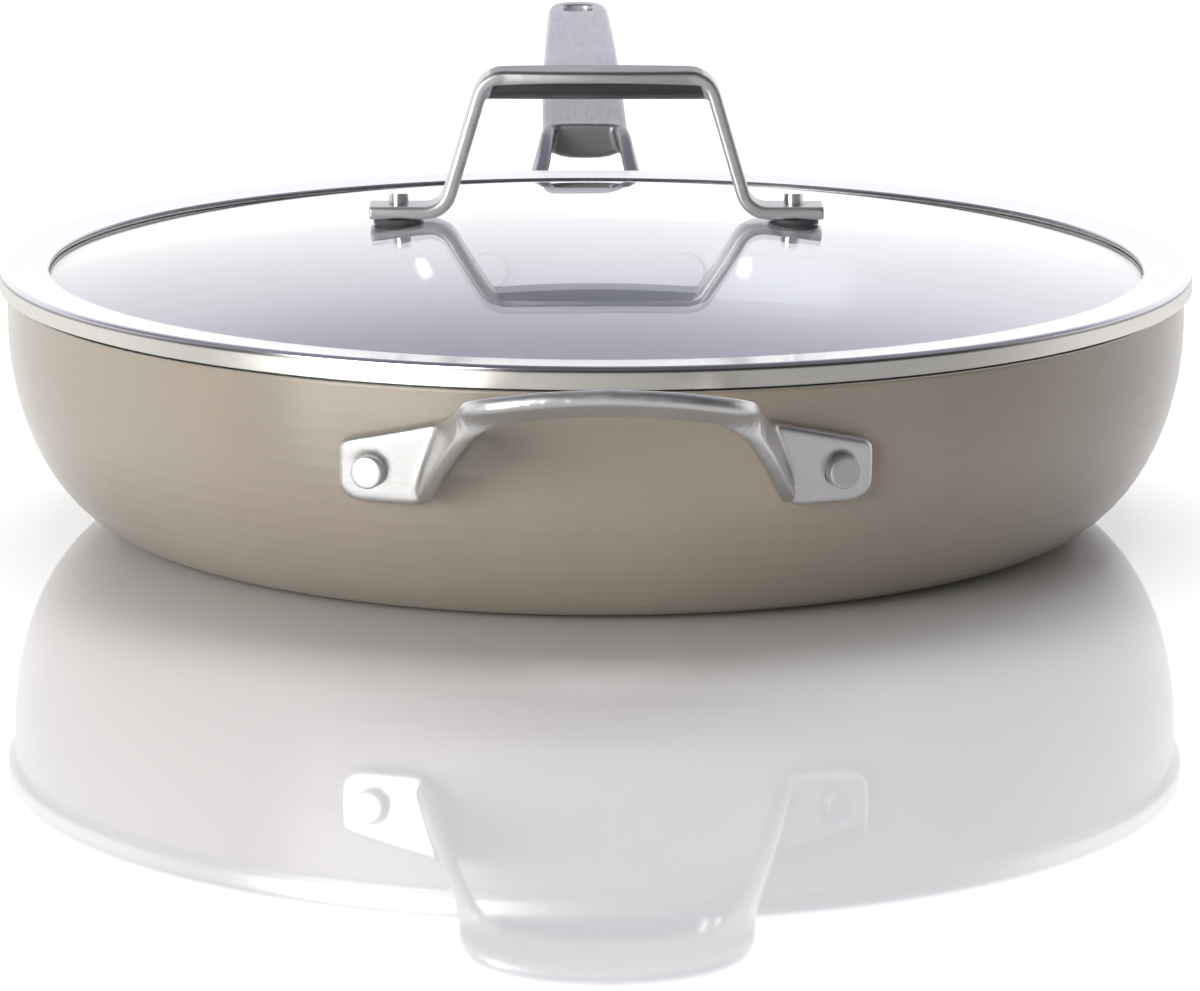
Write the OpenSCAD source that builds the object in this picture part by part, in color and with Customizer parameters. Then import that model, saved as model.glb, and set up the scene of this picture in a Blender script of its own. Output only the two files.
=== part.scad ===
// Frying pan with a domed glass lid, a long handle and a helper handle.
// The origin is the middle of the flat base, +Z is up, and the long handle points along +Y.

/* [Pan] */
// Outer radius of the pan's wall at the rim
pan_r = 158.4; // [145:0.2:175]
// Radius of the flat base
base_r = 122; // [105:1:130]
// Height of the rim above the surface that the pan stands on
pan_h = 63.6; // [60:0.2:75]
// Height at which the curved wall has become upright
curve_h = 56; // [48:1:58]
// Thickness of the wall
wall_t = 2.8; // [2:0.1:4]
// Thickness of the base
base_t = 4; // [3:0.1:6]
// Rounding of the rim's two edges
rim_round = 0.9; // [0.4:0.1:1]

/* [Lid rim] */
// How far the lid's edge stands out beyond the pan's wall
lid_overhang = 2; // [1.5:0.1:4]
// Width of the flat flange on top
flange_w = 13.2; // [11:0.2:16]
// How much lower the flange's inner edge lies than its outer edge
flange_fall = 0.5; // [0.2:0.1:1]
// Height of the upright skirt round the outside
skirt_h = 5.2; // [4:0.1:8]
// How far the seat hangs below the skirt's lower edge
seat_step = 1; // [0.6:0.1:2]
// Gap left between the lid's seat and the pan's rim
seat_gap = 0.3; // [0.2:0.05:0.5]
// Thickness of the rolled sheet
sheet_t = 0.8; // [0.6:0.1:1.2]
// Rounding of the flange's outer edge
flange_round = 1.3; // [0.9:0.1:2]
// Clearance between the lid's collar and the inside of the pan's wall
collar_clear = 1.1; // [0.5:0.1:1.5]
// How far the collar reaches down below the seat
collar_drop = 6.4; // [4:0.2:12]
// Width of the ledge that carries the glass
ledge_w = 3.6; // [2.5:0.1:5]
// Height of the rolled lip on the flange's inner edge
lip_h = 1.3; // [1:0.1:2]

/* [Lid glass] */
// Thickness of the glass
glass_t = 4; // [3:0.1:5]
// Rise of the dome from the edge of the glass to its middle
glass_rise = 15.7; // [12:0.1:20]
// Gap left between the glass and the metal round it
glass_clear = 0.3; // [0.2:0.05:0.5]
// Radius of the two holes in the glass
glass_hole_r = 3.3; // [3:0.1:4]

/* [Lid handle] */
// How far each foot reaches beyond its screw
foot_out = 8.1; // [7:0.1:10]
// Height of the lid handle from under its feet to the top of its bar
lid_handle_h = 40.3; // [34:0.5:50]
// Distance from each screw to the bend where the foot meets the leg
foot_in = 12.3; // [11:0.1:14]
// Distance between the two upper bends of the handle
leg_top_w = 60; // [50:0.5:66]
// Thickness of the bar
bar_t = 3.6; // [3:0.1:4.5]
// Depth of the legs and feet, from front to back
bar_depth = 13; // [11:0.2:16]
// Depth of the grip at its middle, from front to back
grip_depth = 16.4; // [14:0.2:20]
// How far the rounded belly of the grip hangs below the bar
belly_h = 4.6; // [3:0.1:7]
// How far the belly stands back from the edges of the bar
belly_inset = 0.8; // [0.4:0.1:1.6]
// Inner radius of the bends
bend_in_r = 5.2; // [5:0.1:7]
// Rounding of the bar's long edges
bar_round = 0.9; // [0.5:0.1:1.2]

/* [Lid fasteners] */
// Distance between the two screws of the lid handle
screw_pitch = 106.4; // [100:0.2:110]
// Radius of the screws' shanks
screw_r = 2; // [1.6:0.1:2.4]
// Clearance between a screw and what it passes through
screw_clear = 0.1; // [0.05:0.05:0.3]
// Radius of the gaskets
gasket_r = 6.8; // [6:0.1:7.2]
// Thickness of each gasket at its thinnest place
gasket_t = 0.5; // [0.4:0.1:2]
// Radius of the steel washers under the glass
washer_r = 6; // [5.4:0.1:6.8]
// Thickness of the washers
washer_t = 1; // [0.8:0.1:1.5]
// Radius of the screw heads under the glass
screw_head_r = 4.4; // [3.8:0.1:5]
// Height of the screw heads
screw_head_h = 2.6; // [2:0.1:3.5]
// Radius of the round cap nuts on the feet
cap_r = 2.65; // [2.6:0.05:3]
// Height of the cap nuts
cap_h = 3; // [2.8:0.1:4.5]
// Thickness of a cap nut's closed top
cap_top = 0.9; // [0.7:0.1:1.2]

/* [Helper handle] */
// Length of the helper handle over both pads
helper_w = 131.2; // [122:0.2:140]
// How far the helper handle's grip stands out from the pan's wall
helper_reach = 45.1; // [38:0.1:52]
// Height of the lower edge of both handles' pads above the ground
pad_z = 34; // [32:0.5:35]
// Height from the pads' lower edge to the top of the helper handle
helper_h = 39.5; // [36:0.5:44]
// Thickness of the handles' straps
strap_t = 4; // [3.6:0.1:5]
// Rounding of the straps' long edges
strap_round = 1.3; // [0.8:0.1:1.6]
// Rounding of a pad's upper corner
pad_top_r = 2.4; // [2:0.1:4]
// Rounding of a pad's lower corner
pad_low_r = 6; // [4:0.1:7]
// Rounding of the lower corner between a pad and its leg
pad_leg_r = 2.4; // [1:0.1:3]

/* [Long handle] */
// Distance from the pan's wall to the tip of the long handle
handle_l = 214; // [190:1:240]
// Width of the long handle where the fork ends
handle_w = 25.6; // [22.5:0.2:28]
// Width of the long handle near its tip
tip_w = 19; // [17:0.2:22]
// Thickness of the long handle where the fork ends
handle_t = 10.6; // [9:0.1:12]
// Thickness of the long handle near its tip
tip_t = 6.6; // [5:0.1:8]
// Height of the handle's upper side where the fork ends
fork_z = 78.2; // [77:0.5:81]
// Height of the handle's upper side at its tip
tip_z = 94.6; // [86:0.2:104]
// Length of the fork's two legs
fork_l = 41; // [38:0.5:46]
// Width over the pads of the long handle
fork_w = 79; // [75:0.2:84]
// Width of the hang slot
slot_w = 9.4; // [7:0.2:11]
// Length of the hang slot
slot_l = 11.2; // [9:0.2:14]
// Distance from the tip to the middle of the hang slot
slot_in = 11.1; // [10.5:0.1:16]
// Rounding of the hang slot's corners
slot_round = 3; // [2:0.1:3.5]

/* [Rivets] */
// Distance between the helper handle's rivets, measured at their faces
helper_rivet_pitch = 118; // [112:0.2:122]
// Distance between the long handle's rivets, measured at their faces
long_rivet_pitch = 63; // [60:0.2:66]
// Height of the rivets above the ground
rivet_z = 42.4; // [41:0.1:44]
// Radius of the rivets' shanks
rivet_r = 3; // [2.4:0.1:3.4]
// Radius of the rivets' outer heads
rivet_head_r = 4.15; // [3.8:0.05:4.6]
// How far the outer heads stand proud of their seats
rivet_head_h = 3.2; // [2.5:0.1:4]
// Rounding of the outer heads' edge
rivet_round = 0.7; // [0.4:0.1:1]
// Radius of the flat heads inside the pan
inner_head_r = 5.2; // [4.6:0.1:6]
// Height of the heads inside the pan
inner_head_h = 1.6; // [1.3:0.1:2.2]
// Depth of the spot face that a rivet's outer head sits in
spot_depth = 0.5; // [0.3:0.1:0.8]
// Clearance round a rivet's head in its spot face
spot_clear = 0.35; // [0.2:0.05:0.6]

/* [Hidden] */
LEFT = -1;
RIGHT = 1;

// Colours
pan_colour = [0.60, 0.56, 0.50];
steel_colour = [0.78, 0.78, 0.78];
glass_colour = [0.80, 0.84, 0.90, 0.45];
rubber_colour = [0.12, 0.12, 0.12];

// Fineness of the round surfaces
$fn = 144;
wall_steps = 18;
dome_steps = 14;
// How far a cut runs past the face that it opens
overrun = 1;

// Pan
wall_in_r = pan_r - wall_t;
inner_base_r = base_r - wall_t / 2;

// Lid
lid_r = pan_r + lid_overhang;
flange_in_r = lid_r - flange_w;
seat_z = pan_h + seat_gap;
skirt_z = seat_z + seat_step;
flange_z = skirt_z + skirt_h;
flange_in_z = flange_z - flange_fall;
collar_r = wall_in_r - collar_clear;
collar_z = seat_z - collar_drop;
glass_r = collar_r - sheet_t - glass_clear;
// The dome falls from its middle by the square of the distance
glass_top_z = flange_in_z - lip_h - glass_clear + glass_rise * pow(flange_in_r / glass_r, 2);
glass_edge_z = glass_top_z - glass_rise;
ledge_z = glass_edge_z - glass_t;

// Lid handle
screw_x = screw_pitch / 2;
foot_z = glass_z(screw_x - gasket_r) + gasket_t;
foot_top_z = foot_z + bar_t;
bar_z = foot_z + lid_handle_h - bar_t / 2;
bend_r = bend_in_r + bar_t / 2;
lower_gasket_z = glass_z(screw_x + gasket_r) - glass_t - gasket_t;
washer_z = lower_gasket_z - washer_t;

// Straps of the handles, and the seats of the rivets
rivet_seat_r = wall_r(rivet_z) + strap_t - spot_depth;
rivet_face_r = rivet_seat_r + rivet_head_h;
helper_rivet_a = asin(helper_rivet_pitch / 2 / rivet_face_r);
long_rivet_a = asin(long_rivet_pitch / 2 / rivet_face_r);

// Upper and outer edge of the helper handle, from the middle of its grip to where the leg enters the wall:
// across, as a share of its half width, out from the wall, as a share of its reach,
// and up from the pads' lower edge, as a share of its height
helper_upper_shares = [
    [0, 1, 0.955], [0.221, 0.995, 0.936], [0.381, 0.977, 0.9], [0.451, 0.93, 0.873], [0.482, 0.84, 0.838],
    [0.505, 0.66, 0.778], [0.536, 0.38, 0.68], [0.576, 0.14, 0.58], [0.613, -0.05, 0.52]
];
// Lower and inner edge of the same strap
helper_lower_shares = [
    [0, 0.732, 0.805], [0.171, 0.730, 0.795], [0.311, 0.722, 0.765], [0.401, 0.695, 0.74],
    [0.457, 0.645, 0.70],
    [0.521, 0.565, 0.605], [0.602, 0.355, 0.375], [0.66, 0.15, 0.165], [0.701, -0.05, 0.02]
];
// Upper edge of a leg of the long handle, from inside the handle to where it enters the wall:
// across, as a share of half the width over the pads, out, as a share of the fork's length,
// and up, as a share of the rise from the pads' lower edge to the fork
leg_upper_shares = [
    [0.215, 1.24, 0.975], [0.240, 1.1, 0.985], [0.265, 0.93, 0.985], [0.292, 0.70, 0.945],
    [0.330, 0.42, 0.82], [0.410, 0.16, 0.62], [0.485, -0.05, 0.50]
];
// Lower edge of the same leg
leg_lower_shares = [
    [0.250, 1.24, 0.79], [0.285, 1.1, 0.79], [0.325, 0.90, 0.785], [0.375, 0.62, 0.66],
    [0.430, 0.33, 0.39], [0.487, 0.14, 0.13], [0.525, -0.05, 0.01]
];
// Where a pad's upper and lower edges start inside its leg, as shares of the half width over the pads
helper_start_shares = [0.6, 0.672];
leg_start_shares = [0.465, 0.52];
// Height of a pad's upper edge where it starts and at its end, above the pads' lower edge,
// as shares of the handle's own rise
helper_pad_shares = [0.56, 0.4];
leg_pad_shares = [0.49, 0.34];
// Long handle beyond the fork: place along it, half width, upper side's height and thickness,
// each as a share of the way from its value at the fork to its value at the tip
handle_shares = [
    [0, 0, 0, 0], [0.08, 0, 0.02, 0.02], [0.25, 0.04, 0.13, 0.20], [0.47, 0.17, 0.40, 0.45],
    [0.72, 0.52, 0.72, 0.72], [0.88, 0.82, 0.90, 0.90], [0.945, 0.98, 0.96, 1], [0.972, 1.2, 0.98, 1.04],
    [0.989, 1.75, 0.993, 1.15], [1, 2.9, 1, 1.45]
];
// Shape of a section: points at each corner, points on the long side and steps between two places
corner_steps = 3;
// Steps round the belly and along half of the grip, the belly's fullness, a power of its sine,
// and how far its ends stop short of the middle of a leg
belly_steps = 16;
grip_steps = 5;
belly_fullness = 0.5;
belly_short = 1.3;
// Steps of a strap between two places of its table
strap_steps = 3;
// Steps along a pad's straight part, and angles of the steps round its lower corners
pad_steps = 4;
pad_start_angles = [0, 30, 60, 90];
pad_end_angles = [0, 20, 38, 52, 64, 74, 82, 90];
handle_steps = 3;
side_points = 14;
// Share of the long handle's thickness that lies above its widest line
crown_share = 0.2;
// Exponents of the long handle's rounded section, above and below its widest line
crown_power = 3.4;
belly_power = 3;

function unit(v) = v / norm(v);
function flip_x(v) = [-v.x, v.y, v.z];
function both_sides(edge) = concat([for (i = [len(edge) - 1:-1:1]) flip_x(edge[i])], edge);
function reversed(list) = [for (i = [len(list) - 1:-1:0]) list[i]];
function limited(value, most) = min(value, most);

// Outer radius of the pan's wall at a height
function wall_r(z) =
    z >= curve_h ? pan_r : base_r + (pan_r - base_r) * sqrt(1 - pow((curve_h - z) / curve_h, 2));

// Height of the upper side of the glass at a distance from its middle
function glass_z(r) = glass_top_z - glass_rise * pow(r / glass_r, 2);

// Quarter of an ellipse from a flat bottom up to an upright side
function bowl_curve(flat_r, side_r, z0, z1) = [
    for (i = [0:wall_steps])
        let (a = 90 * i / wall_steps)
        [flat_r + (side_r - flat_r) * sin(a), z1 - (z1 - z0) * cos(a)]
];

// Arc of a corner, round a centre, from one angle to another
function corner(centre, r, from, to) = [
    for (i = [0:corner_steps])
        let (a = from + (to - from) * i / corner_steps)
        centre + r * [cos(a), sin(a)]
];

// Smooth curve through a list of points
function spline_point(p, i, t) =
    let (
        before = p[max(i - 1, 0)],
        after = p[min(i + 2, len(p) - 1)],
        bend = 2 * before - 5 * p[i] + 4 * p[i + 1] - after,
        turn = 3 * p[i] - before - 3 * p[i + 1] + after
    )
    (2 * p[i] + (p[i + 1] - before) * t + bend * t * t + turn * t * t * t) / 2;
function spline(p, steps) = concat(
    [for (i = [0:len(p) - 2]) for (s = [0:steps - 1]) spline_point(p, i, s / steps)],
    [p[len(p) - 1]]
);

// Rounded rectangle with half sides a and b
function rounded_section(a, b, r) =
    let (f = limited(r, 0.9 * min(a, b)))
    concat(
        corner([a - f, b - f], f, 0, 90), corner([f - a, b - f], f, 90, 180),
        corner([f - a, f - b], f, 180, 270), corner([a - f, f - b], f, 270, 360)
    );

// Section of the long handle: a crowned upper side over a fuller lower side
function handle_section(half_w, t) = [
    for (i = [0:2 * side_points - 1])
        let (
            a = 180 * i / side_points,
            power = a < 180 ? crown_power : belly_power,
            height = a < 180 ? t * crown_share : t * (1 - crown_share)
        )
        [
            half_w * sign(cos(a)) * pow(abs(cos(a)), 2 / power),
            -t * crown_share + height * sign(sin(a)) * pow(abs(sin(a)), 2 / power)
        ]
];

// Solid skin over a row of rings that have the same number of points
module loft(rings) {
    n = len(rings[0]);
    last = len(rings) - 1;
    sides = [
        for (i = [0:last - 1]) for (j = [0:n - 1])
            let (a = i * n + j, b = i * n + (j + 1) % n)
            each [[a, b + n, b], [a, a + n, b + n]]
    ];
    first_cap = [for (j = [0:n - 1]) j];
    last_cap = [for (j = [n - 1:-1:0]) last * n + j];
    points = [for (ring = rings) each ring];
    polyhedron(points = points, faces = concat([first_cap], sides, [last_cap]), convexity = 6);
}

// Rings of a strap between two edge curves
function strap_rings(edge_a, edge_b, t, r) =
    let (mid = (edge_a + edge_b) / 2, last = len(mid) - 1)
    [
        for (i = [0:last])
            let (
                along = unit(mid[min(i + 1, last)] - mid[max(i - 1, 0)]),
                half = (edge_a[i] - edge_b[i]) / 2,
                across = unit(half - along * (half * along)),
                out = cross(along, across)
            )
            [for (p = rounded_section(norm(half), t / 2, r)) mid[i] + across * p.x + out * p.y]
    ];

// A place beside the pan's wall: across, out from the middle of a strap on the wall, and up
function beside_wall(x, out, z, t, side) =
    let (rho = wall_r(z) + t / 2 + out)
    [x, side * sqrt(rho * rho - x * x), z];

// One edge of a strap, set beside the pan's wall
function beside(shares, half_w, reach, rise, side_x, side_y) = spline(
    [for (s = shares) beside_wall(side_x * s.x * half_w, s.y * reach, pad_z + s.z * rise, strap_t, side_y)],
    strap_steps
);

// How far an outline with a rounded corner has dropped at a place before its end
function corner_drop(x, end, r) =
    let (d = max(0, x - end + r))
    r - sqrt(max(0, r * r - d * d));

// Flat pad along the pan's wall, from a slanted edge inside its leg to its rounded end
module pad(starts, end, tops, side_x, side_y) {
    straight_end = end - pad_low_r;
    slope = (tops[1] - tops[0]) / (end - starts[0]);
    places = concat(
        [for (a = pad_start_angles) starts + pad_leg_r * (1 - cos(a)) * [1, 1]],
        [
            for (i = [1:pad_steps - 1])
                let (from = starts + pad_leg_r * [1, 1])
                from + ([straight_end, straight_end] - from) * i / pad_steps
        ],
        [for (a = pad_end_angles) (end - pad_low_r * (1 - sin(a))) * [1, 1]]
    );
    rings = [
        for (p = places)
            let (
                top = tops[0] + slope * (p[0] - starts[0]) - corner_drop(p[0], end, pad_top_r),
                low = corner_drop(p[1], end, pad_low_r) + corner_drop(starts[1] - p[1], 0, pad_leg_r),
                upper = beside_wall(side_x * p[0], 0, pad_z + top, strap_t, side_y),
                lower = beside_wall(side_x * p[1], 0, pad_z + low, strap_t, side_y),
                mid = (upper + lower) / 2,
                across = unit(upper - lower),
                along = unit(cross(across, [mid.x, mid.y, 0])),
                out = cross(along, across),
                half_t = strap_t / 2 - corner_drop(p[1], end, strap_round)
            )
            [
                for (q = rounded_section(norm(upper - lower) / 2, half_t, strap_round))
                    mid + across * q.x + out * q.y
            ]
    ];
    loft(side_x * side_y > 0 ? reversed(rings) : rings);
}

// Solid that the pan's outer surface encloses
module pan_outside() {
    rotate_extrude()
        polygon(concat(
            [[0, 0]],
            bowl_curve(base_r, pan_r, 0, curve_h),
            corner([pan_r - rim_round, pan_h - rim_round], rim_round, 0, 90),
            [[0, pan_h]]
        ));
}

// Space inside the pan, open at the top
module pan_inside() {
    rotate_extrude()
        polygon(concat(
            [[0, base_t]],
            bowl_curve(inner_base_r, wall_in_r, base_t, curve_h),
            reversed(corner([wall_in_r + rim_round, pan_h - rim_round], rim_round, 90, 180)),
            [[wall_in_r + rim_round, pan_h + overrun], [0, pan_h + overrun]]
        ));
}

// Places a rivet, or its hole: its axis runs out from the pan's axis along +X
module at_rivet(angle) {
    translate([0, 0, rivet_z])
        rotate([0, 0, angle])
            children();
}

function helper_angle(side) = -90 + side * helper_rivet_a;
function long_angle(side) = 90 - side * long_rivet_a;

module rivet_hole(angle) {
    at_rivet(angle)
        translate([wall_in_r / 2, 0, 0])
            rotate([0, 90, 0])
                cylinder(r = rivet_r, h = pan_r);
}

module spot_face(angle) {
    at_rivet(angle)
        translate([rivet_seat_r, 0, 0])
            rotate([0, 90, 0])
                cylinder(r = rivet_head_r + spot_clear, h = strap_t + overrun);
}

module pan_body() {
    color(pan_colour)
        difference() {
            pan_outside();
            pan_inside();
            for (side = [LEFT, RIGHT]) {
                rivet_hole(helper_angle(side));
                rivet_hole(long_angle(side));
            }
        }
}

// A rivet: outer head, shank and a flat inner head that follows the wall
module rivet(angle) {
    color(steel_colour) {
        at_rivet(angle)
            rotate([0, 90, 0])
                rotate_extrude($fn = 48)
                    polygon(concat(
                        [[0, wall_in_r - inner_head_h], [rivet_r, wall_in_r - inner_head_h]],
                        [[rivet_r, rivet_seat_r], [rivet_head_r, rivet_seat_r]],
                        corner([rivet_head_r - rivet_round, rivet_face_r - rivet_round], rivet_round, 0, 90),
                        [[0, rivet_face_r]]
                    ));
        intersection() {
            at_rivet(angle)
                translate([wall_r(rivet_z - inner_head_r) - wall_t - inner_head_h, 0, 0])
                    rotate([0, 90, 0])
                        cylinder(r = inner_head_r, h = wall_t + inner_head_h + strap_t, $fn = 48);
            pan_inside();
        }
    }
}

module helper_handle() {
    half_w = helper_w / 2;
    upper = beside(helper_upper_shares, half_w, helper_reach, helper_h, 1, -1);
    lower = beside(helper_lower_shares, half_w, helper_reach, helper_h, 1, -1);
    color(steel_colour)
        difference() {
            union() {
                loft(strap_rings(both_sides(upper), both_sides(lower), strap_t, strap_round));
                for (side = [LEFT, RIGHT])
                    pad(helper_start_shares * half_w, half_w, helper_pad_shares * helper_h, side, -1);
            }
            pan_outside();
            for (side = [LEFT, RIGHT]) {
                rivet_hole(helper_angle(side));
                spot_face(helper_angle(side));
            }
        }
}

module fork_leg(side) {
    half_w = fork_w / 2;
    rise = fork_z - pad_z;
    loft(strap_rings(
        beside(leg_upper_shares, half_w, fork_l, rise, side, 1),
        beside(leg_lower_shares, half_w, fork_l, rise, side, 1), strap_t, strap_round
    ));
    pad(leg_start_shares * half_w, half_w, leg_pad_shares * rise, side, 1);
}

module long_grip() {
    start = [pan_r + fork_l, handle_w / 2, fork_z, handle_t];
    finish = [pan_r + handle_l, tip_w / 2, tip_z, tip_t];
    places = spline([
        for (s = handle_shares)
            [start[0] + (finish[0] - start[0]) * s[0], start[1] + (finish[1] - start[1]) * s[1],
             start[2] + (finish[2] - start[2]) * s[2], start[3] + (finish[3] - start[3]) * s[3]]
    ], handle_steps);
    loft([
        for (p = places)
            [for (q = handle_section(p[1], p[3])) [-q.x, p[0], p[2] + q.y]]
    ]);
}

module hang_slot() {
    far = [slot_w / 2 - slot_round, slot_l / 2 - slot_round];
    translate([0, pan_r + handle_l - slot_in, 0])
        linear_extrude(height = tip_z + overrun)
            union() {
                square([slot_w, 2 * far.y], center = true);
                square([2 * far.x, slot_l], center = true);
                for (x = [-far.x, far.x], y = [-far.y, far.y])
                    translate([x, y])
                        circle(r = slot_round, $fn = 32);
            }
}

module long_handle() {
    color(steel_colour)
        difference() {
            union() {
                long_grip();
                fork_leg(LEFT);
                fork_leg(RIGHT);
            }
            pan_outside();
            hang_slot();
            for (side = [LEFT, RIGHT]) {
                rivet_hole(long_angle(side));
                spot_face(long_angle(side));
            }
        }
}

// Rolled sheet rim: flange, skirt, seat, collar and the ledge that carries the glass
module lid_rim() {
    seat_out_r = pan_r - rim_round;
    color(steel_colour)
        rotate_extrude()
            union() {
                // Flange with its rounded outer edge and its lip
                polygon(concat(
                    [[flange_in_r, flange_in_z - lip_h], [flange_in_r + sheet_t, flange_in_z - lip_h],
                     [flange_in_r + sheet_t, flange_in_z - sheet_t], [lid_r - sheet_t, flange_z - sheet_t],
                     [lid_r - sheet_t, skirt_z], [lid_r, skirt_z]],
                    corner([lid_r - flange_round, flange_z - flange_round], flange_round, 0, 90),
                    [[flange_in_r + sheet_t / 2, flange_in_z], [flange_in_r, flange_in_z - sheet_t / 2]]
                ));
                // Return under the skirt, stepping down to the seat on the pan's rim
                translate([seat_out_r - sheet_t, skirt_z])
                    square([lid_r - seat_out_r + sheet_t, sheet_t]);
                translate([seat_out_r - sheet_t, seat_z])
                    square([sheet_t, seat_step + sheet_t]);
                translate([collar_r - sheet_t, seat_z])
                    square([seat_out_r - collar_r + sheet_t, sheet_t]);
                // Collar inside the pan's mouth, and the ledge
                translate([collar_r - sheet_t, collar_z])
                    square([sheet_t, seat_z + sheet_t - collar_z]);
                translate([collar_r - ledge_w, ledge_z - sheet_t])
                    square([ledge_w, sheet_t]);
            }
}

// Region of a section under the glass's upper side, or under its lower side
function dome_curve(drop) = [
    for (i = [0:dome_steps])
        let (r = glass_r * i / dome_steps)
        [r, glass_z(r) - drop]
];

module under_dome(drop) {
    rotate_extrude()
        polygon(concat([[0, ledge_z - glass_rise]], dome_curve(drop), [[glass_r, ledge_z - glass_rise]]));
}

module lid_glass() {
    color(glass_colour)
        difference() {
            rotate_extrude()
                polygon(concat(dome_curve(0), reversed(dome_curve(glass_t))));
            for (side = [LEFT, RIGHT])
                translate([side * screw_x, 0, glass_edge_z - glass_t])
                    cylinder(r = glass_hole_r, h = glass_rise + 2 * glass_t, $fn = 48);
        }
}

// Arc that rounds the corner at the middle one of three points
function rounded_bend(a, v, b, r, steps) =
    let (
        u = unit(a - v), w = unit(b - v),
        half = acos(u * w) / 2,
        centre = v + unit(u + w) * r / sin(half),
        from = v + u * r / tan(half) - centre,
        to = v + w * r / tan(half) - centre,
        turn = acos(unit(from) * unit(to))
    )
    [
        for (i = [0:steps])
            centre + (from * sin(turn * (1 - i / steps)) + to * sin(turn * i / steps)) / sin(turn)
    ];

// Rounded belly under the grip, whose ends run into the legs
module grip_belly() {
    lean = (screw_x - foot_in - leg_top_w / 2) / (bar_z - foot_z - bar_t / 2);
    deep = bar_t / 2 + belly_h;
    loft([
        for (i = [-grip_steps:grip_steps])
            let (
                share = i / grip_steps,
                half_depth = (bar_depth + (grip_depth - bar_depth) * (1 - share * share)) / 2 - belly_inset
            )
            [
                for (k = [0:belly_steps])
                    let (t = 180 * k / belly_steps, drop = deep * pow(sin(t), belly_fullness))
                    [share * (leg_top_w / 2 - belly_short + lean * drop), -half_depth * cos(t), bar_z - drop]
            ]
    ]);
}

// Lid handle: one bar bent into two feet, two legs and a wide grip
module lid_handle() {
    bend_steps = 6;
    leg_steps = 2;
    foot_end = [screw_x + foot_out, foot_z + bar_t / 2];
    low = [screw_x - foot_in, foot_z + bar_t / 2];
    high = [leg_top_w / 2, bar_z];
    top = [0, bar_z];
    lower_bend = rounded_bend(foot_end, low, high, bend_r, bend_steps);
    upper_bend = rounded_bend(low, high, top, bend_r, bend_steps);
    grip_end = upper_bend[bend_steps];
    foot_start = lower_bend[0];
    leg_start = lower_bend[bend_steps];
    foot_round = foot_round_share * bar_depth;
    half = concat(
        [for (a = [0:30:90]) foot_end - [foot_round * (1 - sin(a)), 0]],
        [for (i = [1:leg_steps - 1]) foot_end + (foot_start - foot_end) * i / leg_steps],
        lower_bend,
        [for (i = [1:leg_steps - 1]) leg_start + (upper_bend[0] - leg_start) * i / leg_steps],
        upper_bend,
        [for (i = [1:grip_steps]) grip_end + (top - grip_end) * i / grip_steps]
    );
    count = len(half);
    path = concat(half, [for (i = [count - 2:-1:0]) [-half[i].x, half[i].y]]);
    last = len(path) - 1;
    rings = [
        for (i = [0:last])
            let (
                p = path[i],
                along = unit(path[min(i + 1, last)] - path[max(i - 1, 0)]),
                out = [-along.y, along.x],
                from_end = min(i, last - i),
                on_grip = max(0, 1 - pow(abs(p.x) / grip_end.x, 2)),
                is_grip = p.y > bar_z - bar_t && abs(p.x) < grip_end.x + bar_t / 2,
                swell = is_grip ? (grip_depth - bar_depth) / 2 * on_grip : 0,
                end_cut = from_end < 4 ? foot_round * (1 - cos(30 * (3 - from_end))) : 0
            )
            [
                for (q = rounded_section(bar_depth / 2 + swell - end_cut, bar_t / 2, bar_round))
                    [p.x - out.x * q.y, -q.x, p.y - out.y * q.y]
            ]
    ];
    color(steel_colour)
        difference() {
            union() {
                loft(rings);
                grip_belly();
            }
            for (side = [LEFT, RIGHT])
                translate([side * screw_x, 0, foot_z - overrun])
                    cylinder(r = screw_r + screw_clear, h = bar_t + 2 * overrun, $fn = 32);
        }
}
foot_round_share = 0.22;

// Rubber gasket between the glass and a foot, cut to the dome below it
module upper_gasket(side) {
    color(rubber_colour)
        difference() {
            translate([side * screw_x, 0, lower_gasket_z])
                cylinder(r = gasket_r, h = foot_z - lower_gasket_z, $fn = 48);
            under_dome(0);
            translate([side * screw_x, 0, lower_gasket_z - overrun])
                cylinder(r = screw_r + screw_clear, h = foot_z - lower_gasket_z + 2 * overrun, $fn = 32);
        }
}

// Rubber gasket under the glass, with a sleeve that lines the hole
module lower_gasket(side) {
    color(rubber_colour)
        difference() {
            union() {
                intersection() {
                    translate([side * screw_x, 0, lower_gasket_z])
                        cylinder(r = gasket_r, h = foot_z - lower_gasket_z, $fn = 48);
                    under_dome(glass_t);
                }
                intersection() {
                    translate([side * screw_x, 0, lower_gasket_z])
                        cylinder(r = glass_hole_r, h = foot_z - lower_gasket_z, $fn = 48);
                    under_dome(0);
                }
            }
            translate([side * screw_x, 0, lower_gasket_z - overrun])
                cylinder(r = screw_r + screw_clear, h = foot_z - lower_gasket_z + 2 * overrun, $fn = 32);
        }
}

module washer(side) {
    color(steel_colour)
        translate([side * screw_x, 0, washer_z])
            difference() {
                cylinder(r = washer_r, h = washer_t, $fn = 48);
                translate([0, 0, -overrun])
                    cylinder(r = screw_r + screw_clear, h = washer_t + 2 * overrun, $fn = 32);
            }
}

// Screw with a domed head under the washer and a shank that ends inside the cap nut
module screw(side) {
    shank_top = foot_top_z + cap_h - cap_top - screw_clear;
    head_round = screw_head_h / 2;
    head_z = washer_z - screw_head_h;
    color(steel_colour)
        translate([side * screw_x, 0, 0])
            rotate_extrude($fn = 48)
                polygon(concat(
                    [[0, head_z]],
                    corner([screw_head_r - head_round, head_z + head_round], head_round, -90, 0),
                    [[screw_head_r, washer_z], [screw_r, washer_z], [screw_r, shank_top], [0, shank_top]]
                ));
}

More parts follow.
